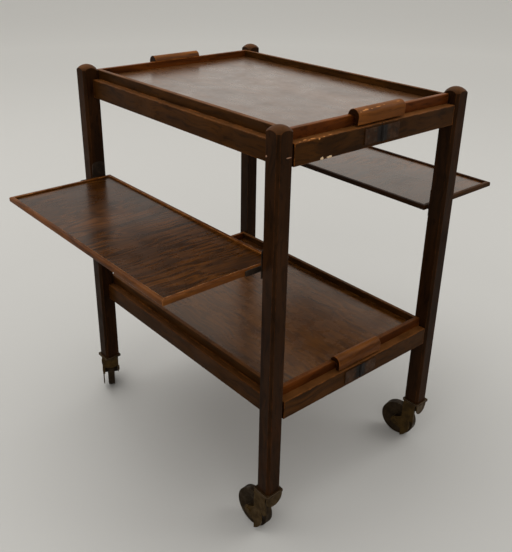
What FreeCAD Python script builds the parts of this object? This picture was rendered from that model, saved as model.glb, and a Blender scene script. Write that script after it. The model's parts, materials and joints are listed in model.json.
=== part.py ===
"""Folding tea trolley with two lift-out trays and two drop leaves.

Millimetres, +Z up, floor at Z = 0. X runs along the trolley, Y across it.
Each of the two long side frames (front, at -Y, and back, at +Y) is a pair of
posts joined by two side rails. Rails that are hinged in the middle join the
frames at both ends, so that with the trays out the frames close together.
"""
import FreeCAD, Part
import math
import os
from FreeCAD import Vector

os.makedirs("parts", exist_ok=True)

# ---------------------------------------------------------------- frame sizes
frame_len = 574.0        # over the posts, along X
frame_wid = 436.0        # over the posts, along Y
post_w = 30.4            # square section
post_chamfer = 4.2       # leg of the chamfer on three arrises
post_len = 645.5         # foot to the peak of the domed top
post_dome = 5.5          # rise of the dome above the middle of a face
castor_h = 98.0          # floor to the foot of the post

rail_h = 34.2            # depth of every rail
top_rail_down = 61.7     # underside of the top rails, below the posts' peaks
low_rail_z = 146.4       # underside of the low rails, above the foot
side_rail_th = 11.8      # side rails lie flush with the posts' inner faces
end_rail_th = 22.0       # end rails carry the trays on their inner edge
end_rail_set = 2.5       # end rail's outer face in from the post's outer face
rail_round = 1.2         # worn arrises of the rails

tenon_th = 6.0
tenon_h = 22.0
tenon_len = 16.0
joint_clear = 0.05       # glue line round a tenon, stem or pin

# ------------------------------------------------------------- folding hinges
post_hinge_gap = 2.8     # between a post and the end of its end rail
post_leaf_th = 1.3
post_leaf_len = 17.0     # along the rail's thickness, from the barrel
post_barrel_r = 2.4
post_hinge_h = 25.0
centre_gap = 1.0         # between the two halves of an end rail
centre_leaf_th = 1.5
centre_leaf_len = 39.5   # each side of the pin
centre_hinge_h = 24.6
centre_barrel_r = 2.6
centre_hinge_up = 1.0    # above the rail's middle
centre_barrel_z = 0.15   # pin axis outside the leaf's face
pin_r = 1.1
pin_clear = 0.04
knuckle_gap = 0.15
barrel_room = 0.25       # notch round the other leaf's knuckle
screw_r = 2.6
screw_head = 1.0         # head let into the leaf
screw_sunk = 0.05        # head below the leaf's face

bearer_th = 4.0          # strip along each side rail, under the trays' edges
bearer_h = 10.0
bearer_in = 6.6          # bearer's ends in from the posts

# ---------------------------------------------------------------------- trays
tray_side_clear = 1.5    # between a tray and the posts
tray_bearing = 6.1       # tray's end lies this far over the end rail
tray_seat = 0.2
tray_h = 16.7
tray_rim_th = 8.0
tray_panel_th = 4.0
tray_tongue_th = 2.0     # panel's edge, let into a rebate of the rim
tray_rebate = 4.0
panel_gap = 0.2          # raised field to the inside of a rim
rim_round = 1.6

handle_len = 108.0
handle_out = 14.4        # outside the tray's end
handle_rise = 10.3       # above the rim
handle_drop = 14.2       # outer leg below the rim's top
handle_leg = 7.5         # thickness of the outer leg

# --------------------------------------------------------------------- leaves
leaf_down = 165.7        # underside of a leaf, below that of the top rails
leaf_h = 9.3
leaf_inner = 179.5       # inner edge from the centre line
leaf_width = 211.6
leaf_rim = 7.0
leaf_panel_th = 4.6
leaf_panel_up = 1.6      # panel above the underside of the rim
leaf_tongue_th = 2.4     # panel's edge, let into a groove of the rim
leaf_groove = 3.5
leaf_round = 2.6
leaf_under_round = 2.2
pivot_in = 23.5          # pivot from the leaf's inner edge
pivot_r = 3.0

plate_th = 2.0           # bearing plate on the post
plate_w = 27.0
plate_down = 11.1        # plate's lower edge, below the leaf's underside
plate_h = 50.0
plate_round = 9.0
strap_gap = 0.5          # strap to plate
strap_th = 1.8
strap_h = 9.0
strap_in = 10.0          # strap from the leaf's inner edge
strap_len = 56.0
strap_up = 0.2           # strap's lower edge above the leaf's underside
plate_screw_r = 2.4
plate_screw_rise = 0.3

# -------------------------------------------------------------------- castors
cup_w = 37.0             # square top plate
cup_th = 4.0
stem_r = 5.0
stem_len = 34.0
kingpin_r = 4.2
kingpin_head_r = 7.5
kingpin_head_h = 2.2
swivel_gap = 0.3
hood_th = 2.0
hood_half = 17.6         # half width over the cheeks
hood_front = 15.5        # front wall ahead of the kingpin
hood_back = -17.0
apron_half = 18.4        # half width of the front wall
apron_drop = 25.0        # rounded front wall, below the hood's top
guard_front = 9.0        # guard cheek's straight front edge
guard_r = 34.0           # guard cheek's round foot, about the axle
guard_lip = 5.0          # turned-in lip on the guard's front edge
arm_front = 11.0         # plain cheek's arm, where it leaves the hood
trail = 32.0             # axle behind the kingpin
boss_r = 9.0             # plain cheek's end round the axle
wheel_r = 36.5
wheel_w = 14.0
wheel_face = 3.4         # depth of the dished faces
wheel_rim = 5.0          # flat rim of the wheel
wheel_hub_r = 8.0
axle_r = 3.0
axle_fit = 0.02
axle_head_r = 5.6
axle_head_h = 1.8
turn = {"near": 3.0, "right": 9.0, "left": -29.0, "far": 18.0}

# ------------------------------------------------------------ derived lengths
hx, hy = frame_len / 2, frame_wid / 2
px, py = hx - post_w, hy - post_w            # posts' inner faces
foot = castor_h
top_rail_z = post_len - top_rail_down        # heights above the foot
leaf_z = top_rail_z - leaf_down
plate_z = leaf_z - plate_down
end_out = hx - end_rail_set                  # end rail's faces
end_in = end_out - end_rail_th
end_y = py - post_hinge_gap                  # end rail's hinged end
top_z = foot + top_rail_z
low_z = foot + low_rail_z
tray_x = end_in + tray_bearing
tray_y = py - tray_side_clear
plate_x = px - plate_th
strap_x = plate_x - strap_gap
leaf_x = strap_x - strap_th
pivot_y = leaf_inner + pivot_in
pivot_z = foot + leaf_z + strap_up + strap_h / 2
p1x = end_in - post_barrel_r - 0.1           # pin between a post and a rail
p1y = py - post_barrel_r - 0.1
p2x = end_out + centre_leaf_th + centre_barrel_z


# ----------------------------------------------------------------- primitives
def box(x0, x1, y0, y1, z0, z1):
    return Part.makeBox(x1 - x0, y1 - y0, z1 - z0, Vector(x0, y0, z0))


def cyl(r, p, d, h):
    return Part.makeCylinder(r, h, Vector(*p), Vector(*d))


def prism(points, vec):
    wire = Part.makePolygon([Vector(*p) for p in points + points[:1]])
    return Part.Face(wire).extrude(Vector(*vec))


def rounded(shape, r, pick):
    edges = [e for e in shape.Edges if pick(e)]
    return shape.makeFillet(r, edges) if edges else shape


def along(axis):
    i = "xyz".index(axis)

    def pick(e):
        a, b = e.Vertexes[0].Point, e.Vertexes[-1].Point
        d = b - a
        return d.Length > 1e-6 and abs(tuple(d)[i]) > 0.999 * d.Length
    return pick


def mirror_y(shape):
    return shape.mirror(Vector(0, 0, 0), Vector(0, 1, 0))


def mirror_x(shape):
    return shape.mirror(Vector(0, 0, 0), Vector(1, 0, 0))


nodes = {}


def add(name, *shapes):
    nodes.setdefault(name, []).extend(shapes)


# ---------------------------------------------------------------------- posts
def tenon_box(z, grow):
    """Tenon of a side rail at the +X, -Y post, or the mortise that takes it."""
    mid = -(py + side_rail_th / 2)
    zc = z + rail_h / 2
    return box(px - (0 if grow else 1.0), px + tenon_len + grow,
               mid - tenon_th / 2 - grow, mid + tenon_th / 2 + grow,
               zc - tenon_h / 2 - grow, zc + tenon_h / 2 + grow)


def post():
    """Post at +X, -Y: chamfered arrises, domed top, mortises and stem hole."""
    c = post_chamfer
    section = [(px, -hy + c), (px + c, -hy), (hx - c, -hy), (hx, -hy + c),
               (hx, -py - c), (hx - c, -py), (px, -py)]
    body = prism([(x, y, foot) for x, y in section], (0, 0, post_len))
    half = post_w / 2
    r = (half ** 2 + post_dome ** 2) / (2 * post_dome)
    cx, cy, top = px + half, -py - half, foot + post_len
    ball = Part.makeSphere(r, Vector(cx, cy, top - r))
    dome = Part.makeCylinder(post_w, post_dome * 2, Vector(cx, cy, top - post_dome * 2))
    body = body.cut(dome).fuse(body.common(dome).common(ball))
    for z in (top_z, low_z):
        body = body.cut(tenon_box(z, joint_clear))
    stem = cyl(stem_r + joint_clear, (cx, cy, foot - 1), (0, 0, 1), stem_len + 2)
    return body.cut(stem).removeSplitter()


near = post()
add("post_near", near)
add("post_left", mirror_x(near))
add("post_right", mirror_y(near))
add("post_far", mirror_x(mirror_y(near)))


# ---------------------------------------------------------------------- rails
def side_rail(z):
    rail = box(-px, px, -py - side_rail_th, -py, z, z + rail_h)
    rail = rounded(rail, rail_round, along("x"))
    for flip in (False, True):
        tenon = tenon_box(z, 0)
        rail = rail.fuse(mirror_x(tenon) if flip else tenon)
    return rail.removeSplitter()


for level, z in (("top", top_z), ("low", low_z)):
    rail = side_rail(z)
    add("side_rail_front_" + level, rail)
    add("side_rail_back_" + level, mirror_y(rail))


def bearers(z):
    """Strip screwed along the front side rail, its top flush with the rail's."""
    top = z + rail_h
    x = px - bearer_in
    return box(-x, x, -py, -py + bearer_th, top - bearer_h, top)


for z in (top_z, low_z):
    add("bearers_front", bearers(z))
    add("bearers_back", mirror_y(bearers(z)))


# --------------------------------------------------------------------- hinges
def notch(x, y, z0, z1, r):
    """Square notch that a leaf leaves for the other leaf's knuckle."""
    g = r + barrel_room
    return box(x - g, x + g, y - g, y + g, z0 - knuckle_gap, z1 + knuckle_gap)


def outer_leaf(plate, x, y, z0, h, r):
    """Leaf with the first and last of three knuckles, and the pin riveted in."""
    third = h / 3
    plate = plate.cut(notch(x, y, z0 + third, z0 + 2 * third, r))
    for z in (z0, z0 + 2 * third):
        plate = plate.fuse(cyl(r, (x, y, z), (0, 0, 1), third))
    return plate.fuse(cyl(pin_r, (x, y, z0 + 1), (0, 0, 1), h - 2)).removeSplitter()


def middle_leaf(plate, x, y, z0, h, r):
    """Leaf with the middle knuckle, which turns on the pin."""
    third = h / 3
    plate = plate.cut(notch(x, y, z0 - 1, z0 + third, r))
    plate = plate.cut(notch(x, y, z0 + 2 * third, z0 + h + 1, r))
    knuckle = cyl(r, (x, y, z0 + third + knuckle_gap), (0, 0, 1),
                  third - 2 * knuckle_gap)
    bore = cyl(pin_r + pin_clear, (x, y, z0), (0, 0, 1), h)
    return plate.fuse(knuckle).cut(bore).removeSplitter()


# screws of the front centre leaf: along the leaf, and up or down, as shares of it
centre_screws = ((0.42, 0.27), (0.42, -0.27), (0.82, 0.0))


def end_half(z):
    """Front half of the end rail at +X, with its hinge leaves and screws."""
    rail = box(end_in, end_out, -end_y, -centre_gap / 2, z, z + rail_h)
    rail = rounded(rail, rail_round, along("y"))
    zc = z + rail_h / 2 + centre_hinge_up
    z0 = zc - centre_hinge_h / 2
    room = centre_barrel_r + barrel_room
    rail = rail.cut(box(p2x - room, p2x + room, -room, room, z0 - barrel_room,
                        z0 + centre_hinge_h + barrel_room))
    face = end_out + centre_leaf_th
    centre = box(end_out, face, -centre_leaf_len, 0, z0, z0 + centre_hinge_h)
    places = [(face, -f * centre_leaf_len, zc + g * centre_hinge_h)
              for f, g in centre_screws]
    for p in places:
        centre = centre.cut(cyl(screw_r + joint_clear, p, (-1, 0, 0), screw_head))
    q0 = z + (rail_h - post_hinge_h) / 2
    x1 = end_in + post_leaf_len
    swing = box(p1x, x1, -end_y - post_leaf_th, -end_y, q0, q0 + post_hinge_h)
    fixed = box(p1x, x1, -py, -py + post_leaf_th, q0, q0 + post_hinge_h)
    return {
        "rail": rail,
        "centre_a": outer_leaf(centre, p2x, 0, z0, centre_hinge_h, centre_barrel_r),
        "centre_b": middle_leaf(mirror_y(centre), p2x, 0, z0, centre_hinge_h,
                                centre_barrel_r),
        "fixed": outer_leaf(fixed, p1x, -p1y, q0, post_hinge_h, post_barrel_r),
        "swing": middle_leaf(swing, p1x, -p1y, q0, post_hinge_h, post_barrel_r),
        "screws": [cyl(screw_r, (x - screw_head, y, z), (1, 0, 0), screw_head - screw_sunk)
                   for x, y, z in places],
    }


for level, z in (("top", top_z), ("low", low_z)):
    h = end_half(z)
    for end, mx in (("right", lambda s: s), ("left", mirror_x)):
        add("end_rail_%s_front_%s" % (end, level), mx(h["rail"]))
        add("end_rail_%s_back_%s" % (end, level), mx(mirror_y(h["rail"])))
        add("centre_hinge_%s_front" % end, mx(h["centre_a"]))
        add("centre_hinge_%s_back" % end, mx(h["centre_b"]))
        add("post_hinge_%s_front" % end, mx(h["swing"]))
        add("post_hinge_%s_back" % end, mx(mirror_y(h["swing"])))
        add("post_leaves_front", mx(h["fixed"]))
        add("post_leaves_back", mx(mirror_y(h["fixed"])))
        add("hinge_screws_%s_front" % end, *[mx(s) for s in h["screws"]])
        add("hinge_screws_%s_back" % end, *[mx(mirror_y(s)) for s in h["screws"]])


# ---------------------------------------------------------------------- trays
def mitred(x, y0, y1, z, h, w, top_r, under_r=0.0):
    """Four mitred strips of a rectangular rim: front, back, left, right."""
    def at(level):
        return lambda e: abs(e.CenterOfMass.z - level) < 1e-6

    outer = rounded(box(-x, x, y0, y1, z, z + h), top_r, at(z + h))
    if under_r:
        outer = rounded(outer, under_r, at(z))
    ring = outer.cut(box(-x + w, x - w, y0 + w, y1 - w, z - 1, z + h + 1))
    k = w + 0.5
    cells = [
        [(-x, y0), (x, y0), (x - k, y0 + k), (-x + k, y0 + k)],
        [(-x, y1), (x, y1), (x - k, y1 - k), (-x + k, y1 - k)],
        [(-x, y0), (-x, y1), (-x + k, y1 - k), (-x + k, y0 + k)],
        [(x, y0), (x, y1), (x - k, y1 - k), (x - k, y0 + k)],
    ]
    return [ring.common(prism([(a, b, z - 1) for a, b in c], (0, 0, h + 2)))
            for c in cells]


def fielded(x, y0, y1, z, th, tongue, groove):
    """Panel with a raised field inside the rim and a tongue let into it."""
    g = panel_gap
    field = box(-x + g, x - g, y0 + g, y1 - g, z, z + th)
    edge = box(-x - groove, x + groove, y0 - groove, y1 + groove, z, z + tongue)
    return field.fuse(edge).removeSplitter(), edge


def handle(z):
    """Rolled grip over the tray's +X rim: section in X-Z, run along Y."""
    rim_in = tray_x - tray_rim_th
    top = z + tray_h
    xo = tray_x + handle_out
    r = handle_rise
    crown = top + handle_rise
    leg_in = xo - handle_leg
    low = top - handle_drop
    a = Vector(rim_in, 0, top)
    b = Vector(rim_in + 0.8, 0, top + 2.6)
    m1 = Vector(rim_in + 4.4, 0, crown - 2.4)
    c = Vector(rim_in + r, 0, crown)
    m2 = Vector(xo - 3.2, 0, crown - 3.4)
    d = Vector(xo, 0, top - 1.0)
    e = Vector(xo - 0.9, 0, low + 1.4)
    f = Vector(xo - 2.4, 0, low)
    g = Vector(leg_in + 1.0, 0, low)
    h = Vector(leg_in, 0, low + 1.2)
    i = Vector(leg_in, 0, top - 3.4)
    m3 = Vector(leg_in - 1.1, 0, top - 0.9)
    j = Vector(leg_in - 3.4, 0, top)
    edges = [Part.LineSegment(a, b).toShape(), Part.Arc(b, m1, c).toShape(),
             Part.Arc(c, m2, d).toShape(), Part.LineSegment(d, e).toShape(),
             Part.LineSegment(e, f).toShape(), Part.LineSegment(f, g).toShape(),
             Part.LineSegment(g, h).toShape(), Part.LineSegment(h, i).toShape(),
             Part.Arc(i, m3, j).toShape(), Part.LineSegment(j, a).toShape()]
    grip = Part.Face(Part.Wire(edges)).extrude(Vector(0, handle_len, 0))
    grip.translate(Vector(0, -handle_len / 2, 0))
    return grip


def tray(tag, z):
    x, y = tray_x - tray_rim_th, tray_y - tray_rim_th
    panel, edge = fielded(x, -y, y, z, tray_panel_th, tray_tongue_th, tray_rebate)
    strips = mitred(tray_x, -tray_y, tray_y, z, tray_h, tray_rim_th, rim_round)
    strips = [s.cut(edge) for s in strips]
    add("tray_%s_panel" % tag, panel)
    add("tray_%s_long_rims" % tag, *strips[:2])
    add("tray_%s_end_rims" % tag, *strips[2:])
    grip = handle(z)
    add("tray_%s_handles" % tag, grip, mirror_x(grip))


tray("top", top_z + rail_h + tray_seat)
tray("low", low_z + rail_h + tray_seat)

# --------------------------------------------------------------------- leaves
leaf_y0, leaf_y1 = -(leaf_inner + leaf_width), -leaf_inner
leaf_bottom = foot + leaf_z


def leaf():
    """Front leaf: a panel held in the groove of a mitred rim."""
    w = leaf_rim
    panel, edge = fielded(leaf_x - w, leaf_y0 + w, leaf_y1 - w,
                          leaf_bottom + leaf_panel_up, leaf_panel_th,
                          leaf_tongue_th, leaf_groove)
    strips = mitred(leaf_x, leaf_y0, leaf_y1, leaf_bottom, leaf_h, w, leaf_round,
                    leaf_under_round)
    return panel, [s.cut(edge) for s in strips]


def strap():
    """Metal strap on the leaf's +X end, and the pivot pin riveted into it."""
    z0 = leaf_bottom + strap_up
    y1 = leaf_y1 - strap_in
    plate = box(leaf_x, strap_x, y1 - strap_len, y1, z0, z0 + strap_h)
    plate = rounded(plate, strap_h * 0.3, along("x"))
    plate = plate.cut(cyl(pivot_r, (leaf_x - 1, -pivot_y, pivot_z), (1, 0, 0),
                          strap_th + 2))
    pin = cyl(pivot_r, (leaf_x, -pivot_y, pivot_z), (1, 0, 0), px - 0.2 - leaf_x)
    return plate, pin


def bearing_plate():
    """Plate on the +X, -Y post's inner face, bored for the leaf's pin."""
    yc = -(py + post_w / 2)
    z0 = foot + plate_z
    plate = box(plate_x, px, yc - plate_w / 2, yc + plate_w / 2, z0, z0 + plate_h)
    plate = rounded(plate, plate_round, lambda e: along("x")(e) and
                    e.CenterOfMass.z > z0 + 1 and e.CenterOfMass.y < yc)
    plate = plate.cut(cyl(pivot_r + pin_clear, (plate_x - 1, -pivot_y, pivot_z),
                          (1, 0, 0), plate_th + 2))
    heads = [cyl(plate_screw_r, (plate_x, yc, z0 + plate_h * f), (-1, 0, 0),
                 plate_screw_rise) for f in (0.80, 0.56)]
    return plate, heads


panel, strips = leaf()
plate, pin = strap()
bearing, heads = bearing_plate()
for side, my in (("front", lambda s: s), ("back", mirror_y)):
    add("leaf_%s_panel" % side, my(panel))
    add("leaf_%s_rim" % side, *[my(s) for s in strips])
    add("leaf_%s_straps" % side, my(plate), my(mirror_x(plate)),
        my(pin), my(mirror_x(pin)))
    add("bearing_plates_%s" % side, my(bearing), my(mirror_x(bearing)))
    add("plate_screws_%s" % side, *[my(m(s)) for s in heads
                                    for m in (lambda q: q, mirror_x)])


# -------------------------------------------------------------------- castors
def castor_top():
    """Plate under the post with its stem and kingpin, kingpin axis at X = Y = 0."""
    plate = box(-cup_w / 2, cup_w / 2, -cup_w / 2, cup_w / 2, foot - cup_th, foot)
    plate = rounded(plate, 2.5, along("z"))
    stem = cyl(stem_r, (0, 0, foot - 0.5), (0, 0, 1), stem_len + 0.5)
    low = foot - cup_th - 2 * swivel_gap - hood_th
    pin = cyl(kingpin_r, (0, 0, low - 0.5), (0, 0, 1), foot - cup_th - low + 1)
    head = cyl(kingpin_head_r, (0, 0, low - kingpin_head_h), (0, 0, 1), kingpin_head_h)
    return plate.fuse(stem).fuse(pin).fuse(head).removeSplitter()


def hood():
    """Pressed hood trailing toward -X.

    Top and rounded front wall, a wide cheek at -Y that guards the wheel's front,
    and a plain raked arm at +Y. The axle is riveted through both cheeks.
    """
    top = foot - cup_th - swivel_gap
    under = top - hood_th
    w, t, low = hood_half, hood_th, top - apron_drop
    body = box(hood_back, hood_front, -w, w, under, top)
    wall = box(hood_front - t, hood_front, -apron_half, apron_half, low, top)
    body = body.fuse(rounded(wall, apron_half - 1, lambda e: along("x")(e) and
                             e.CenterOfMass.z < under))
    disc = cyl(guard_r, (-trail, -w, wheel_r), (0, 1, 0), t)
    guard = box(hood_back, guard_front, -w, -w + t, 0, top)
    guard = guard.common(disc.fuse(box(hood_back, guard_front, -w, -w + t,
                                       wheel_r + guard_r * 0.4, top)))
    lip = box(guard_front - t, guard_front, -w, -w + guard_lip,
              wheel_r + guard_r * 0.4, top)
    tab = prism([(-trail, -w, wheel_r + boss_r), (hood_back + 1, -w, wheel_r + 2 * boss_r),
                 (hood_back + 1, -w, wheel_r - 1.6 * boss_r),
                 (-trail, -w, wheel_r - boss_r)], (0, t, 0))
    boss = cyl(boss_r, (-trail, -w, wheel_r), (0, 1, 0), t)
    arm = prism([(hood_back, w, top), (arm_front, w, top), (arm_front, w, low),
                 (-trail + boss_r * 0.6, w, wheel_r - boss_r * 0.8),
                 (-trail - boss_r * 0.95, w, wheel_r + boss_r * 0.3),
                 (hood_back, w, low)], (0, -t, 0))
    boss_far = cyl(boss_r, (-trail, w - t, wheel_r), (0, 1, 0), t)
    for piece in (guard, lip, tab, boss, arm, boss_far):
        body = body.fuse(piece)
    body = body.cut(cyl(kingpin_r + pin_clear, (0, 0, under - t), (0, 0, 1), 3 * t))
    body = body.cut(cyl(axle_r + axle_fit, (-trail, -w - t, wheel_r), (0, 1, 0),
                        2 * (w + t)))
    return body.removeSplitter()


def axle():
    ax, az = -trail, wheel_r
    w = hood_half
    body = cyl(axle_r, (ax, -w - 0.3, az), (0, 1, 0), 2 * w + 0.6)
    for s in (-1, 1):
        head = cyl(axle_head_r, (ax, s * w, az), (0, s, 0), axle_head_h)
        body = body.fuse(head)
    return body.removeSplitter()


def wheel():
    """Wheel turned about the axle: flat rims, dished faces, hubs out to the cheeks."""
    w, f, r = wheel_w / 2, wheel_face, wheel_r
    bore = axle_r + pin_clear
    hub = hood_half - hood_th - 0.4
    side = [(bore, -hub), (wheel_hub_r, -hub), (wheel_hub_r, -w + f),
            (r - wheel_rim, -w), (r, -w)]
    pts = side + [(a, -b) for a, b in reversed(side)]
    face = Part.Face(Part.makePolygon([Vector(a, b, 0) for a, b in pts + pts[:1]]))
    body = face.revolve(Vector(0, 0, 0), Vector(0, 1, 0), 360)
    body.translate(Vector(-trail, 0, wheel_r))
    return body


top, fork, shaft, roller = castor_top(), hood(), axle(), wheel()
cx, cy = hx - post_w / 2, hy - post_w / 2
for name, x, y, frame in (("near", cx, -cy, "front"), ("left", -cx, -cy, "front"),
                          ("right", cx, cy, "back"), ("far", -cx, cy, "back")):
    def put(shape, angle):
        s = shape.copy()
        s.rotate(Vector(0, 0, 0), Vector(0, 0, 1), angle)
        s.translate(Vector(x, y, 0))
        return s
    add("castor_plates_" + frame, put(top, 0))
    add("castor_hood_" + name, put(fork, turn[name]), put(shaft, turn[name]))
    add("castor_wheel_" + name, put(roller, turn[name]))

# ------------------------------------------------------ origin and STEP files
# The outermost points along X lie on the castors, which stand turned different ways.
# The part's origin is midway between them, on the floor.
bounds = [s.optimalBoundingBox() for g in nodes.values() for s in g]
shift = -(min(b.XMin for b in bounds) + max(b.XMax for b in bounds)) / 2

for name, group in sorted(nodes.items()):
    shape = group[0] if len(group) == 1 else Part.makeCompound(group)
    shape.translate(Vector(shift, 0, 0))
    shape.exportStep("parts/%s.step" % name)
print(len(nodes), "nodes", sum(len(g) for g in nodes.values()), "solids, shift", shift)
print("pins", p1x + shift, p1y, p2x + shift, "pivot", pivot_y, pivot_z,
      "castors", cx + shift, -cx + shift, cy)
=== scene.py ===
# %% [markdown]
# # Folding tea trolley: looks
#
# The imported part gives every piece its true shape and place. This script adds what
# plain solids leave out: dark stained oak with its streaks, pores, rubbed arrises and
# varnish, highlights and sheen painted on its edges and tops, brown-black hinges, dull
# brass castors, a studio floor, light and a camera.
#
# Every piece keeps the mesh it was packed with, so the looks are all materials. Each
# code cell does one job and prints what it made.

import json
import math

import bpy
import numpy as np
from mathutils import Matrix, Vector

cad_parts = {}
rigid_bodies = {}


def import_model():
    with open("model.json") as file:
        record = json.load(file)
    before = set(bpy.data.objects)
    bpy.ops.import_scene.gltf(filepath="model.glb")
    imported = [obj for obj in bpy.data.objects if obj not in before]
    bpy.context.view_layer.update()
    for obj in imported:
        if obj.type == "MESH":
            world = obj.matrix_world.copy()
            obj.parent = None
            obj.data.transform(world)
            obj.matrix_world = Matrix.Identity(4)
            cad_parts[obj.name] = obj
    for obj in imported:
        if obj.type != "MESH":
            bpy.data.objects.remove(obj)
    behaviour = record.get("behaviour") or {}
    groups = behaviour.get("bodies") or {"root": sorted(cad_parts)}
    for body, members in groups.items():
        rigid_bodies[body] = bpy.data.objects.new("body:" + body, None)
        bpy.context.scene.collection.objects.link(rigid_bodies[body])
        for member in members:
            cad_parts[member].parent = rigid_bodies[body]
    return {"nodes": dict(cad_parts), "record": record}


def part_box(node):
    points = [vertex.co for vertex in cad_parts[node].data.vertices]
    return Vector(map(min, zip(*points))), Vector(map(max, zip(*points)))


for o in list(bpy.data.objects):
    bpy.data.objects.remove(o)
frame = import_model()
PIECES = frame["nodes"]
SLOT_OF = {s["node"]: s["material_slot"] for s in frame["record"]["subparts"]}
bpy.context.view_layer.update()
MM = 0.001

# %% [markdown]
# ## Short names for shader nodes
#
# A material is a graph of small nodes. Written out in full, each node takes four lines:
# make it, set its inputs, link its inputs, take its output. `put` does all four, so a
# recipe reads like a sum. An input given as a socket is linked, and one given as a
# number or a colour is set.


# %% Shader helpers
def put(tree, kind, out=0, **inputs):
    """Adds a node: _name sets a property, iN is input N, other names are inputs."""
    node = tree.nodes.new(kind)
    for key, value in inputs.items():
        if key.startswith("_"):
            setattr(node, key[1:], value)
            continue
        numbered = key[0] == "i" and key[1:].isdigit()
        sock = node.inputs[int(key[1:]) if numbered else key.replace("__", " ")]
        if isinstance(value, bpy.types.NodeSocket):
            tree.links.new(value, sock)
        else:
            sock.default_value = value
    return node.outputs[out] if len(node.outputs) else None


def calc(tree, op, a, b=0.5, clamp=False):
    """One sum on numbers, such as a * b."""
    return put(tree, "ShaderNodeMath", _operation=op, _use_clamp=clamp, i0=a, i1=b)


def vcalc(tree, op, a, b=(0, 0, 0), out=0):
    """One sum on vectors. Output 1 is the number that a length or a product gives."""
    return put(tree, "ShaderNodeVectorMath", out, _operation=op, i0=a, i1=b)


def ramp(tree, v, a, b, c=0.0, d=1.0):
    """Carries the span a..b of v onto c..d and holds it there outside."""
    return put(tree, "ShaderNodeMapRange", Value=v, From__Min=a, From__Max=b,
               To__Min=c, To__Max=d)


def blend(tree, share, a, b):
    """The colour a where share is 0, b where it is 1."""
    a, b = (c if isinstance(c, bpy.types.NodeSocket) else (*c[:3], 1.0) for c in (a, b))
    return put(tree, "ShaderNodeMix", 2, _data_type="RGBA", i0=share, i6=a, i7=b)


def noise(tree, place, scale, detail=4.0, rough=0.55):
    """Smooth chance values around 0.5, with so many cells to the metre."""
    return put(tree, "ShaderNodeTexNoise", Vector=place, Scale=scale, Detail=detail,
               Roughness=rough)


def fresh(name):
    """An empty material and its node tree."""
    mat = bpy.data.materials.new(name)
    mat.use_nodes = True
    mat.node_tree.nodes.clear()
    return mat, mat.node_tree


def paint(r, g, b):
    """A colour as a paint chart gives it, 0 to 255, turned into the light it sends."""
    f = lambda c: c / 12.92 if c <= 0.04045 else ((c + 0.055) / 1.055) ** 2.4
    return tuple(f(v / 255) for v in (r, g, b))


print("shader helpers ready")

# %% [markdown]
# ## Oak under a century of polish
#
# The real wood is oak stained very dark, so it is nearly black in the hollows and red
# gold where hands have rubbed it. A picture of wood wrapped round each piece would need
# unwrapped meshes and would show seams at every arris. A solid texture has neither: it
# is worked out from the place in space, so streaks run through a piece as they do in a
# plank, and come out right on its end.
#
# One noise, pulled long along the grain, makes the streaks. Its sine gives the close
# rings. A second noise pushes the first sideways, so that the streaks wander. A very
# fine one makes the open pores of oak, as short dark dashes, and a broad one lays
# grime over all of it in patches.

# %% Grain of the oak
STRETCH = 0.09  # streaks come out eleven times as long as wide
BEND_SCALE, ZONE_SCALE, GRIME_SCALE, PORE_SCALE = 11.0, 6.0, 7.0, 190.0
STREAK_SPAN = (0.34, 0.66)
ZONE_SPAN = (0.40, 0.62, 0.35, 1.0)  # rings fade to a third between the bold zones
PORE_SPAN = (0.50, 0.36)
GRIME_SPAN = (0.42, 0.70)
DEEP = 0.3  # pores and grime keep this share of the darkest stain


def grain_of(tree, place, axis, stain, figure, rings, wander, contrast, pores, blotch):
    """Colour = dark..mid by streak, then light by sin(rings * streak), less pores."""
    pull = {"X": (STRETCH, 1, 1), "Y": (1, STRETCH, 1), "Z": (1, 1, STRETCH)}[axis]
    bend = put(tree, "ShaderNodeTexNoise", 1, Vector=place, Scale=BEND_SCALE,
               Detail=1.0)
    drift = put(tree, "ShaderNodeVectorMath", _operation="SCALE", Scale=wander, i0=bend)
    pulled = put(tree, "ShaderNodeMapping", Vector=place, Scale=pull)
    plank = vcalc(tree, "ADD", pulled, drift)
    streak = noise(tree, plank, figure, 3.0, 0.5)
    ring = ramp(tree, calc(tree, "SINE", calc(tree, "MULTIPLY", streak, rings)), -1, 1)
    zone = ramp(tree, noise(tree, place, ZONE_SCALE, 2.0, 0.5), *ZONE_SPAN)
    lit = calc(tree, "MULTIPLY", calc(tree, "MULTIPLY", ring, zone), contrast)
    colour = blend(tree, ramp(tree, streak, *STREAK_SPAN), stain["dark"], stain["mid"])
    colour = blend(tree, lit, colour, stain["light"])
    deep = tuple(DEEP * c for c in stain["dark"])
    pore = noise(tree, plank, PORE_SCALE, 3.0, 0.6)
    open_pore = calc(tree, "MULTIPLY", ramp(tree, pore, *PORE_SPAN), pores)
    colour = blend(tree, open_pore, colour, deep)
    grime = ramp(tree, noise(tree, place, GRIME_SCALE, 4.0, 0.6), *GRIME_SPAN)
    colour = blend(tree, calc(tree, "MULTIPLY", grime, blotch), colour, deep)
    return colour, streak, pore


print("oak grain recipe ready")
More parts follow.
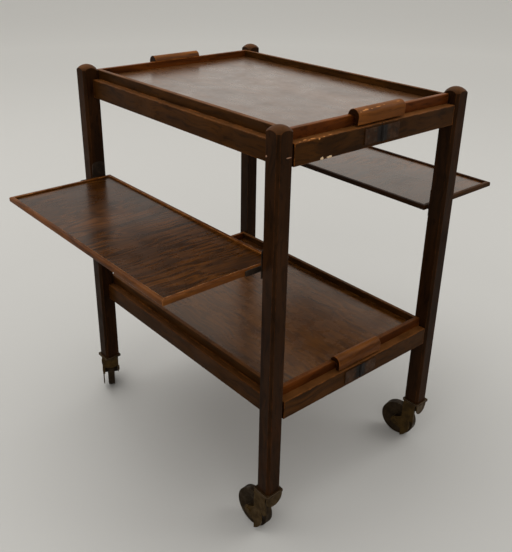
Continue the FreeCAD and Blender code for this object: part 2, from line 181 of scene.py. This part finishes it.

# %% [markdown]
# ## Rubbed arrises, painted glints and chips
#
# Hands and trays rub the stain off the sharp edges first, and a rounded edge also
# catches a highlight, so the rubbed colour is worn wood with a painted highlight in it.
# The mesh has no list of its edges that a material could read, but the Bevel node
# rounds the normal close to an edge, so the angle between the rounded normal and the
# true one says how near the edge is. Noise breaks the rubbed line into patches.
#
# Some marks have their own places: two chips on the lower edge of the top end rail,
# where knocks went deeper; light flecks along its upper edge by the post and on top of
# the handle above it, which are painted glints on the worn edge; and two faint scuffs
# on the near post. Each is a small ellipsoid with a ragged skin, so it marks every face
# that passes through it. Their places are counted from a corner of the piece, so they
# stay on it if its size changes.

# %% Wear and painted glints on the oak
ARRIS_SPAN = (0.998, 0.90)  # cosine between the rounded normal and the true one
PATCH_SCALE, PATCH_SPAN = 55.0, (0.42, 0.66)
RAGGED_SCALE, RAGGED_SPAN = 260.0, (0.3, 0.7, -0.35, 0.35)
SKIN_SPAN = (1.08, 0.92)


def worn_glinting_edges(tree, place, soft, colour, amount, bare_and_glint):
    """Bare wood, with a painted highlight in it, in patches along the edges."""
    true = put(tree, "ShaderNodeNewGeometry", 1)
    arris = ramp(tree, vcalc(tree, "DOT_PRODUCT", soft, true, 1), *ARRIS_SPAN)
    patch = ramp(tree, noise(tree, place, PATCH_SCALE, 5.0, 0.7), *PATCH_SPAN)
    share = calc(tree, "MULTIPLY", calc(tree, "MULTIPLY", arris, patch), amount, True)
    return blend(tree, share, colour, bare_and_glint)


def marked_spot(tree, place, colour, centre, half, bare_and_glint):
    """The given colour, bare wood at a chip and a painted glint at a fleck, where
    |(place - centre) / half| + ragged < 1.
    """
    away = vcalc(tree, "DIVIDE", vcalc(tree, "SUBTRACT", place, centre), half)
    ragged = ramp(tree, noise(tree, place, RAGGED_SCALE, 2.0, 0.6), *RAGGED_SPAN)
    skin = calc(tree, "ADD", vcalc(tree, "LENGTH", away, out=1), ragged)
    return blend(tree, ramp(tree, skin, *SKIN_SPAN), colour, bare_and_glint)


def marks(corner, wood, rows):
    """Places from the corner and half sizes, both in mm, as (centre, half, wood)."""
    return [([c + MM * d for c, d in zip(corner, away)], [MM * h for h in half], wood)
            for away, half in rows]


BARE, GLINT_GOLD, THIN = paint(208, 180, 146), paint(176, 118, 66), paint(138, 104, 84)
rail_low, rail_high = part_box("end_rail_right_front_top")
KNOCKS = marks((rail_high[0], rail_low[1], rail_low[2]), BARE, [
    ((0, 54.8, 2.0), (4, 3.0, 2.6)),
    ((0, 70.8, 1.0), (4, 5.0, 2.8)),
])
# Painted glints: gold flecks of light along the worn upper edge of the rail.
FLECKS = marks((rail_high[0], rail_low[1], rail_high[2]), GLINT_GOLD, [
    ((-2.3, 11.7, 0), (1.2, 1.6, 1)),
    ((-5.1, 24.2, 0), (1.8, 3.4, 1)),
    ((-1.7, 28.6, 0), (0.9, 2.6, 1)),
    ((-3.6, 38.4, 0), (1.6, 5.0, 1)),
    ((-0.2, 48.0, 0), (1.2, 1.8, 3)),
    ((-1.3, 58.2, 0), (0.8, 3.0, 1)),
    ((-3.3, 72.5, 0), (0.9, 4.2, 1)),
])
grip_low, grip_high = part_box("tray_top_handles")
# Painted glints: gold specks of light on top of the handle.
SPECKS = marks((grip_high[0], grip_low[1], grip_high[2]), GLINT_GOLD, [
    ((-2.5, 6.2, -4.2), (0.8, 1.2, 0.8)),
    ((-3.4, 13.7, -3.3), (0.9, 3.0, 0.9)),
    ((-3.9, 19.8, -2.8), (1.5, 3.6, 1.5)),
    ((-3.6, 31.9, -3.0), (0.5, 1.4, 0.5)),
    ((-4.5, 46.4, -2.3), (0.6, 5.2, 0.6)),
    ((-5.5, 61.4, -1.6), (0.4, 1.6, 0.4)),
    ((-6.3, 95.5, -1.2), (0.5, 4.0, 0.5)),
])
post_low, post_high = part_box("post_near")
SCUFFS = marks((post_high[0], post_low[1], post_high[2]), THIN, [
    ((0, 20.4, -44.7), (2, 4.8, 0.9)),
]) + marks((post_low[0], post_low[1], post_high[2]), THIN, [
    ((6, 0, -44.2), (1.8, 2, 1.6)),
])
print("marks on the rail:", len(KNOCKS) + len(FLECKS), "handle:", len(SPECKS),
      "near post:", len(SCUFFS))

# %% [markdown]
# ## Varnish
#
# Thin worn varnish over dark stain shines only a little where you look straight at it
# and more at a slant. The shader's own gloss does that. Its strength is set low on the
# frame, whose polish is worn, and higher on the trays, and its tint is amber, because
# old shellac is. Trays have a clear coat as well: their tops were wiped and waxed, and
# they mirror the room softly.
#
# Two more things depend on which way a face looks, and the normal in the piece's own
# space tells them apart: end grain drinks more stain and goes nearly black, and the
# tops of rails and rims go paler in patches, partly where the stain is worn thin and
# partly as a painted sheen of the bright room on faces that look up.

# %% Stained oak
AMBER = (1.0, 0.74, 0.50, 1.0)
END_SPAN, END_DARK = (0.85, 0.97), 0.15
# The pale colour of the tops: partly stain worn thin, partly a painted sheen.
TOP_SPAN, WORN_TOP_AND_SHEEN_OAK = (0.55, 0.95), paint(144, 92, 50)
TOP_PATCH_SCALE, TOP_PATCH_SPAN = 22.0, (0.32, 0.60, 0.45, 1.0)
SHINE_SCALE, SHINE_SPAN = 18.0, (0.35, 0.7)
PORE_HEIGHT, STREAK_HEIGHT, BUMP = 0.6, 0.4, 0.6 * MM


def stained_oak(name, axis, stain, *, figure=14.0, rings=42.0, wander=0.03,
                contrast=0.3, pores=0.55, blotch=0.3, edge_wear_and_glint=0.5, rough=0.46, gloss=0.04,
                coat=0.01, coat_rough=0.2, relief=0.12, edge=1.4 * MM,
                bare_and_glint=(170, 98, 42), ends=0.6, top_wear_and_sheen=0.0, ior=1.5, marked_spots=()):
    """Grain, darker ends, tops partly paled by painted sheen, edges rubbed and painted
    bright, spots, under varnish.
    """
    mat, t = fresh(name)
    place = put(t, "ShaderNodeTexCoord", 3)
    facing = put(t, "ShaderNodeTexCoord", 1)
    soft = put(t, "ShaderNodeBevel", _samples=6, Radius=edge)
    colour, streak, pore = grain_of(t, place, axis, stain, figure, rings, wander,
                                    contrast, pores, blotch)
    along = put(t, "ShaderNodeSeparateXYZ", "XYZ".index(axis), Vector=facing)
    end = ramp(t, calc(t, "ABSOLUTE", along), *END_SPAN, 0.0, ends)
    colour = blend(t, end, colour, tuple(END_DARK * c for c in stain["dark"]))
    # Painted sheen: faces that look up go paler in patches, partly as worn stain.
    if top_wear_and_sheen:
        up = put(t, "ShaderNodeSeparateXYZ", 2, Vector=facing)
        top = ramp(t, up, *TOP_SPAN, 0.0, top_wear_and_sheen)
        wear_and_sheen_patch = ramp(t, noise(t, place, TOP_PATCH_SCALE, 4.0, 0.6), *TOP_PATCH_SPAN)
        colour = blend(t, calc(t, "MULTIPLY", top, wear_and_sheen_patch), colour, WORN_TOP_AND_SHEEN_OAK)
    # Rubbed edges: worn wood with a painted highlight.
    colour = worn_glinting_edges(t, place, soft, colour, edge_wear_and_glint, paint(*bare_and_glint))
    # Spots: chips and scuffs, and on the rail and handle painted glints.
    for centre, half, wood in marked_spots:
        colour = marked_spot(t, place, colour, centre, half, wood)
    height = calc(t, "ADD", calc(t, "MULTIPLY", pore, PORE_HEIGHT),
                  calc(t, "MULTIPLY", streak, STREAK_HEIGHT))
    bumped = put(t, "ShaderNodeBump", Strength=relief, Distance=BUMP, Height=height,
                 Normal=soft)
    shine = ramp(t, noise(t, place, SHINE_SCALE, 5.0, 0.65), *SHINE_SPAN,
                 rough * 0.8, rough * 1.3)
    skin = put(t, "ShaderNodeBsdfPrincipled", Base__Color=colour, Roughness=shine,
               Normal=bumped, Coat__Weight=coat, Coat__Roughness=coat_rough,
               Coat__Normal=soft, Specular__IOR__Level=gloss, Specular__Tint=AMBER,
               IOR=ior)
    put(t, "ShaderNodeOutputMaterial", Surface=skin)
    return mat


print("varnish recipe ready")

# %% [markdown]
# ## Stains and finishes
#
# The trolley was stained by hand, piece by piece, and has aged unevenly: the posts are
# nearly black, the rails brown, and the handles and the leaves' edges golden from use.
# So each group of pieces has its own stain, as three colours, and its own worn edges,
# whose bright colour on the leaf rims is a painted highlight. The floors of trays and
# leaves have fine bold figure and hardly any relief, because they are thin sheets under
# wax, and a strong bump would break up what they mirror.

# %% Mix the stains and make the oak
POST = dict(dark=paint(28, 15, 6), mid=paint(42, 23, 9), light=paint(66, 37, 14))
FRAME = dict(dark=paint(37, 20, 4), mid=paint(53, 29, 7), light=paint(92, 54, 15))
RIM = dict(dark=paint(56, 26, 6), mid=paint(82, 39, 10), light=paint(126, 66, 20))
HANDLE = dict(dark=paint(70, 36, 9), mid=paint(102, 55, 13), light=paint(152, 92, 32))
LEAF = dict(dark=paint(34, 17, 4), mid=paint(55, 29, 7), light=paint(132, 78, 26))
TRAY = dict(dark=paint(56, 32, 13), mid=paint(76, 46, 20), light=paint(102, 65, 30))
LOW_TRAY = dict(dark=paint(64, 34, 9), mid=paint(96, 56, 17), light=paint(146, 94, 38))

FINISHES = [
    ("post_wood", "Z", "oak of the posts", POST,
     dict(edge_wear_and_glint=0.3, top_wear_and_sheen=0.3, marked_spots=SCUFFS)),
    ("rail_wood", "X", "oak of the side rails", FRAME,
     dict(edge_wear_and_glint=0.8, edge=2.4 * MM, top_wear_and_sheen=0.25)),
    ("rail_wood", "Y", "oak of the end rails", FRAME,
     dict(edge_wear_and_glint=0.9, edge=2.4 * MM, top_wear_and_sheen=0.4, marked_spots=KNOCKS + FLECKS)),
    ("tray_rim_wood", "X", "oak of the long tray rims", FRAME,
     dict(edge_wear_and_glint=0.6, top_wear_and_sheen=0.35)),
    ("tray_rim_wood", "Y", "oak of the end tray rims", RIM,
     dict(edge_wear_and_glint=0.8, top_wear_and_sheen=0.3)),
    ("tray_panel_wood", "X", "waxed oak of the top tray floor", TRAY,
     dict(figure=11, rings=110, contrast=0.45, pores=0.35, blotch=0.4, edge_wear_and_glint=0.0,
          rough=0.3, gloss=0.18, coat=0.38, relief=0.012, ior=2.0)),
    ("low_tray_wood", "X", "waxed oak of the low tray floor", LOW_TRAY,
     dict(figure=12, rings=90, contrast=0.4, pores=0.6, blotch=0.2, edge_wear_and_glint=0.0,
          rough=0.26, gloss=0.13, coat=0.04, coat_rough=0.12, relief=0.03, ior=1.8)),
    ("handle_wood", "Y", "oak of the handles", HANDLE,
     dict(figure=20, contrast=0.45, edge_wear_and_glint=1.0, coat=0.06, edge=2 * MM, ends=0.97,
          top_wear_and_sheen=0.3, marked_spots=SPECKS)),
    ("leaf_panel_wood", "Y", "waxed oak of the leaves", LEAF,
     dict(figure=15, rings=120, wander=0.024, contrast=0.35, pores=0.5, edge_wear_and_glint=0.0,
          rough=0.26, gloss=0.06, coat=0.03, coat_rough=0.14, relief=0.03, ior=1.8)),
    ("back_panel_wood", "Y", "waxed oak of the back leaf", LEAF,
     dict(figure=13, rings=110, wander=0.045, pores=0.4, blotch=0.2, edge_wear_and_glint=0.0,
          rough=0.26, gloss=0.14, coat=0.16, relief=0.012, ior=2.0)),
    ("back_rim_wood", "X", "oak of the long back leaf rims", POST, {}),
    ("back_rim_wood", "Y", "oak of the end back leaf rims", FRAME, {}),
    # The leaf rims' bright rubbed colours are painted highlights along their edges.
    ("leaf_rim_wood", "X", "oak of the long leaf rims", HANDLE,
     dict(edge_wear_and_glint=1.0, coat=0.08, edge=2 * MM, bare_and_glint=(190, 130, 76))),
    ("leaf_rim_wood", "Y", "oak of the end leaf rims", HANDLE,
     dict(edge_wear_and_glint=1.0, coat=0.08, edge=2 * MM, bare_and_glint=(216, 150, 92))),
]
OAK = {(slot, axis): stained_oak(name, axis, stain, **looks)
       for slot, axis, name, stain, looks in FINISHES}
print("oak finishes:", len(OAK))

# %% [markdown]
# ## Dull metal
#
# The hinges are steel painted with the same brown varnish as the rails, rubbed down to
# blue-black where the knuckle turns. The castors are brass under years of dirt, with a
# painted highlight along the edges of their top plates, hoods and wheels. Full metal
# would mirror the pale studio and look new, so the dirt is a plain colour and only part
# of the surface is metal.

# %% Metals
BROAD_SCALE, BROAD_SPAN, BROAD_SHARE = 55.0, (0.36, 0.58), 0.7
FINE_SCALE, FINE_SPAN, FINE_SHARE = 240.0, (0.35, 0.7), 0.3
DIRT = 0.9
KNUCKLE_SPAN = (15 * MM, 9 * MM)  # rubbed fully within 9 mm of the pin, none at 15 mm
GLINT_SPAN = (0.998, 0.92, 0.0, 0.7)


def dull_metal(name, clean, dirty, *, rough=0.5, metal=0.5, rubbed_to=None,
               edge_glint=None):
    """Mottled dirt over metal. rubbed_to colours the strip round a pin at y = 0."""
    mat, t = fresh(name)
    place = put(t, "ShaderNodeTexCoord", 3)
    soft = put(t, "ShaderNodeBevel", _samples=4, Radius=0.6 * MM)
    broad = ramp(t, noise(t, place, BROAD_SCALE, 6.0, 0.68), *BROAD_SPAN)
    fine = ramp(t, noise(t, place, FINE_SCALE, 3.0, 0.6), *FINE_SPAN)
    mottle = calc(t, "ADD", calc(t, "MULTIPLY", broad, BROAD_SHARE),
                  calc(t, "MULTIPLY", fine, FINE_SHARE))
    colour = blend(t, calc(t, "MULTIPLY", mottle, DIRT, True), clean, dirty)
    if rubbed_to:
        across = calc(t, "ABSOLUTE", put(t, "ShaderNodeSeparateXYZ", 1, Vector=place))
        colour = blend(t, ramp(t, across, *KNUCKLE_SPAN), colour, rubbed_to)
    # Painted highlight: a paler colour along the edges.
    if edge_glint:
        true = put(t, "ShaderNodeNewGeometry", 1)
        arris = ramp(t, vcalc(t, "DOT_PRODUCT", soft, true, 1), *GLINT_SPAN)
        colour = blend(t, arris, colour, edge_glint)
    bumped = put(t, "ShaderNodeBump", Strength=0.12, Distance=0.4 * MM, Height=fine,
                 Normal=soft)
    shine = ramp(t, broad, 0, 1, rough * 0.8, min(1.0, rough * 1.5))
    skin = put(t, "ShaderNodeBsdfPrincipled", Base__Color=colour, Roughness=shine,
               Metallic=metal, Normal=bumped, Specular__IOR__Level=0.1)
    put(t, "ShaderNodeOutputMaterial", Surface=skin)
    return mat


METALS = [
    ("hinge_metal", "varnished hinge steel", (62, 38, 18), (30, 18, 10),
     dict(metal=0.1, rubbed_to=paint(26, 22, 20))),
    ("plate_metal", "dark plate steel", (52, 40, 30), (22, 17, 13), dict(metal=0.4)),
    ("screw_metal", "dark screw steel", (64, 50, 38), (28, 21, 16), {}),
    # The last colour of each castor part is a painted highlight on its edges.
    ("castor_plate_metal", "brass with painted edge glints", (64, 47, 27), (28, 19, 10),
     dict(metal=0.35, edge_glint=paint(146, 126, 98))),
    ("castor_hood_metal", "dirty brass", (72, 53, 22), (36, 26, 12),
     dict(edge_glint=paint(116, 92, 52))),
    ("castor_wheel_metal", "brass black with dirt", (52, 40, 24), (28, 20, 12),
     dict(rough=0.55, metal=0.4, edge_glint=paint(84, 68, 44))),
]
METAL = {slot: dull_metal(name, paint(*clean), paint(*dirty), **looks)
         for slot, name, clean, dirty, looks in METALS}
print("metals:", len(METAL))

# %% [markdown]
# ## Give every piece its finish
#
# A rail or rim is cut with the grain along its length, so the finish depends on which
# way the piece lies. The four rims of a leaf are one piece in the frame, mitred at the
# corners. There each face goes to the rim whose outer edge it is nearer to, which
# draws the change of grain along the mitre.
#
# Three pieces share a slot with a twin that has aged otherwise, so they have a finish
# of their own: the low tray's floor, and the back leaf's panel and rim.

# %% Hand out the finishes
WAY = {"post_wood": "Z", "tray_panel_wood": "X", "handle_wood": "Y",
       "leaf_panel_wood": "Y"}
OWN = {"tray_low_panel": "low_tray_wood", "leaf_back_panel": "back_panel_wood",
       "leaf_back_rim": "back_rim_wood"}


def way_of_grain(node):
    """The axis a piece's grain runs along. The end rails and end rims lie along Y."""
    return WAY.get(SLOT_OF[node]) or ("Y" if "end_r" in node else "X")


for name, obj in PIECES.items():
    slot = OWN.get(name, SLOT_OF[name])
    obj.data.materials.clear()
    obj.data.materials.append(METAL.get(slot) or OAK[(slot, way_of_grain(name))])

for name, slot in (("leaf_front_rim", "leaf_rim_wood"),
                   ("leaf_back_rim", "back_rim_wood")):
    mesh = PIECES[name].data
    mesh.materials.clear()
    mesh.materials.append(OAK[(slot, "X")])
    mesh.materials.append(OAK[(slot, "Y")])
    low, high = (np.array(v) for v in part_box(name))
    mid = np.empty(len(mesh.polygons) * 3)
    mesh.polygons.foreach_get("center", mid)
    mid = mid.reshape(-1, 3)
    gap = np.minimum(mid - low, high - mid)
    across = (gap[:, 0] < gap[:, 1]).astype(np.int32)
    mesh.polygons.foreach_set("material_index", across)
    print(name, "faces on the two end rims:", int(across.sum()), "of", len(across))
print("finishes given to", len(PIECES), "pieces")

# %% [markdown]
# ## Floor and light
#
# A plain pale floor and a white room keep the eye on the trolley. Dark varnish shows
# whatever stands opposite it, so the room that shiny surfaces mirror is the one that
# the camera sees, and the light that falls on the wood is softer than that. At a slant
# the trays mirror the floor far off, so it grows paler there. Close by it is darker, or
# it would throw light up at the undersides.
#
# All three lamps are large, because the waxed tops would show a small one as a hot
# spot. The strongest hangs almost overhead, a weaker one stands in front, to show the
# near faces, and one behind on the right lights the rounded edges from the back.

# %% Stage
FLOOR_REACH = 60.0
NEAR_TONE, FAR_TONE = (0.54, 0.54, 0.53), (0.86, 0.86, 0.84)
PALER_SPAN = (1.0, 5.0)  # metres from the middle
floor = bpy.data.objects.new("floor", bpy.data.meshes.new("floor"))
corners = [(x * FLOOR_REACH, y * FLOOR_REACH, 0) for x, y in
           ((-1, -1), (1, -1), (1, 1), (-1, 1))]
floor.data.from_pydata(corners, [], [(0, 1, 2, 3)])
bpy.context.scene.collection.objects.link(floor)
mat, t = fresh("studio floor")
away = vcalc(t, "LENGTH", put(t, "ShaderNodeTexCoord", 3), out=1)
tone = blend(t, ramp(t, away, *PALER_SPAN), NEAR_TONE, FAR_TONE)
skin = put(t, "ShaderNodeBsdfPrincipled", Base__Color=tone, Roughness=0.8,
           Specular__IOR__Level=0.2)
put(t, "ShaderNodeOutputMaterial", Surface=skin)
floor.data.materials.append(mat)
print("floor reaches", FLOOR_REACH, "m each way")

# %% Room
ROOM_TINT, FALLS, SHOWS = (1, 0.97, 0.92, 1), 0.5, 0.9
world = bpy.data.worlds.new("studio")
bpy.context.scene.world = world
world.use_nodes = True
t = world.node_tree
t.nodes.clear()
ray = t.nodes.new("ShaderNodeLightPath").outputs
seen = calc(t, "MAXIMUM", ray["Is Camera Ray"],
            calc(t, "MAXIMUM", ray["Is Glossy Ray"], ray["Is Transmission Ray"]))
falls = put(t, "ShaderNodeBackground", Color=ROOM_TINT, Strength=FALLS)
shows = put(t, "ShaderNodeBackground", Color=ROOM_TINT, Strength=SHOWS)
put(t, "ShaderNodeOutputWorld",
    Surface=put(t, "ShaderNodeMixShader", Fac=seen, i1=falls, i2=shows))
print("white room falls at", FALLS, "and shows at", SHOWS)

# %% Lamps
LAMP_TINT = (1, 0.98, 0.94)
LAMPS = [  # name, place, aim, width and height, watts
    ("high lamp", (-0.8, -0.5, 3.1), (0, 0, 0.4), (3.8, 3.4), 64),
    ("front lamp", (1.9, -2.2, 1.8), (0, 0, 0.4), (3.2, 2.6), 20),
    ("edge lamp", (1.3, 1.8, 2.5), (0, 0, 0.5), (2.0, 1.8), 20),
]
for name, place, aim, (wide, tall), watts in LAMPS:
    data = bpy.data.lights.new(name, "AREA")
    data.shape, data.size, data.size_y = "RECTANGLE", wide, tall
    data.energy, data.color = watts, LAMP_TINT
    obj = bpy.data.objects.new(name, data)
    turn = (Vector(aim) - Vector(place)).to_track_quat("-Z", "Y")
    obj.matrix_world = Matrix.Translation(place) @ turn.to_matrix().to_4x4()
    bpy.context.scene.collection.objects.link(obj)
print("lamps:", len(LAMPS))

# %% [markdown]
# ## Camera
#
# The camera stands to the right of the front, a little above the top tray and 1.4 m
# off, and is turned by a hair about its own line of sight. The point it circles is
# counted from the near post, so it follows the trolley if that is resized. The focal
# length is given in pixels. A small shift moves the picture and not the camera, so that
# the upright lines keep their lean.

# %% Camera
AZIMUTH, ELEVATION, ROLL = 49.74, 24.77, 0.78  # degrees
HALF_LENGTH = 287.0  # from the middle of the frame to the near post's outer face
CIRCLED = (-20.72, -8.50, 300.0)  # from the middle, at the height of the posts' feet
AWAY = 1440.38
PICTURE, FOCAL, MIDDLE = (512.0, 552.0), 718.14, (248.20, 247.04)  # pixels
FILM = 36.0
az, el, roll = (math.radians(a) for a in (AZIMUTH, ELEVATION, ROLL))
back = Vector((math.sin(az) * math.cos(el), -math.cos(az) * math.cos(el), math.sin(el)))
right = (-back).cross(Vector((0, 0, 1))).normalized()
up = right.cross(-back)
right, up = (right * math.cos(roll) + up * math.sin(roll),
             up * math.cos(roll) - right * math.sin(roll))
middle = Vector((post_high[0] - HALF_LENGTH * MM, 0, post_low[2]))
eye = middle + Vector(CIRCLED) * MM + back * AWAY * MM
lens = bpy.data.cameras.new("camera")
cam = bpy.data.objects.new("camera", lens)
bpy.context.scene.collection.objects.link(cam)
pose = Matrix((right, up, back)).transposed().to_4x4()
pose.translation = eye
cam.matrix_world = pose
lens.sensor_fit = "HORIZONTAL"
lens.sensor_width = FILM
lens.lens = FOCAL * FILM / PICTURE[0]
lens.shift_x = (PICTURE[0] / 2 - MIDDLE[0]) / PICTURE[0]
lens.shift_y = (MIDDLE[1] - PICTURE[1] / 2) / PICTURE[0]
lens.clip_start, lens.clip_end = 0.05, 200
bpy.context.scene.camera = cam
bpy.context.scene.view_settings.view_transform = "Standard"
print("camera at", tuple(round(v, 3) for v in eye))
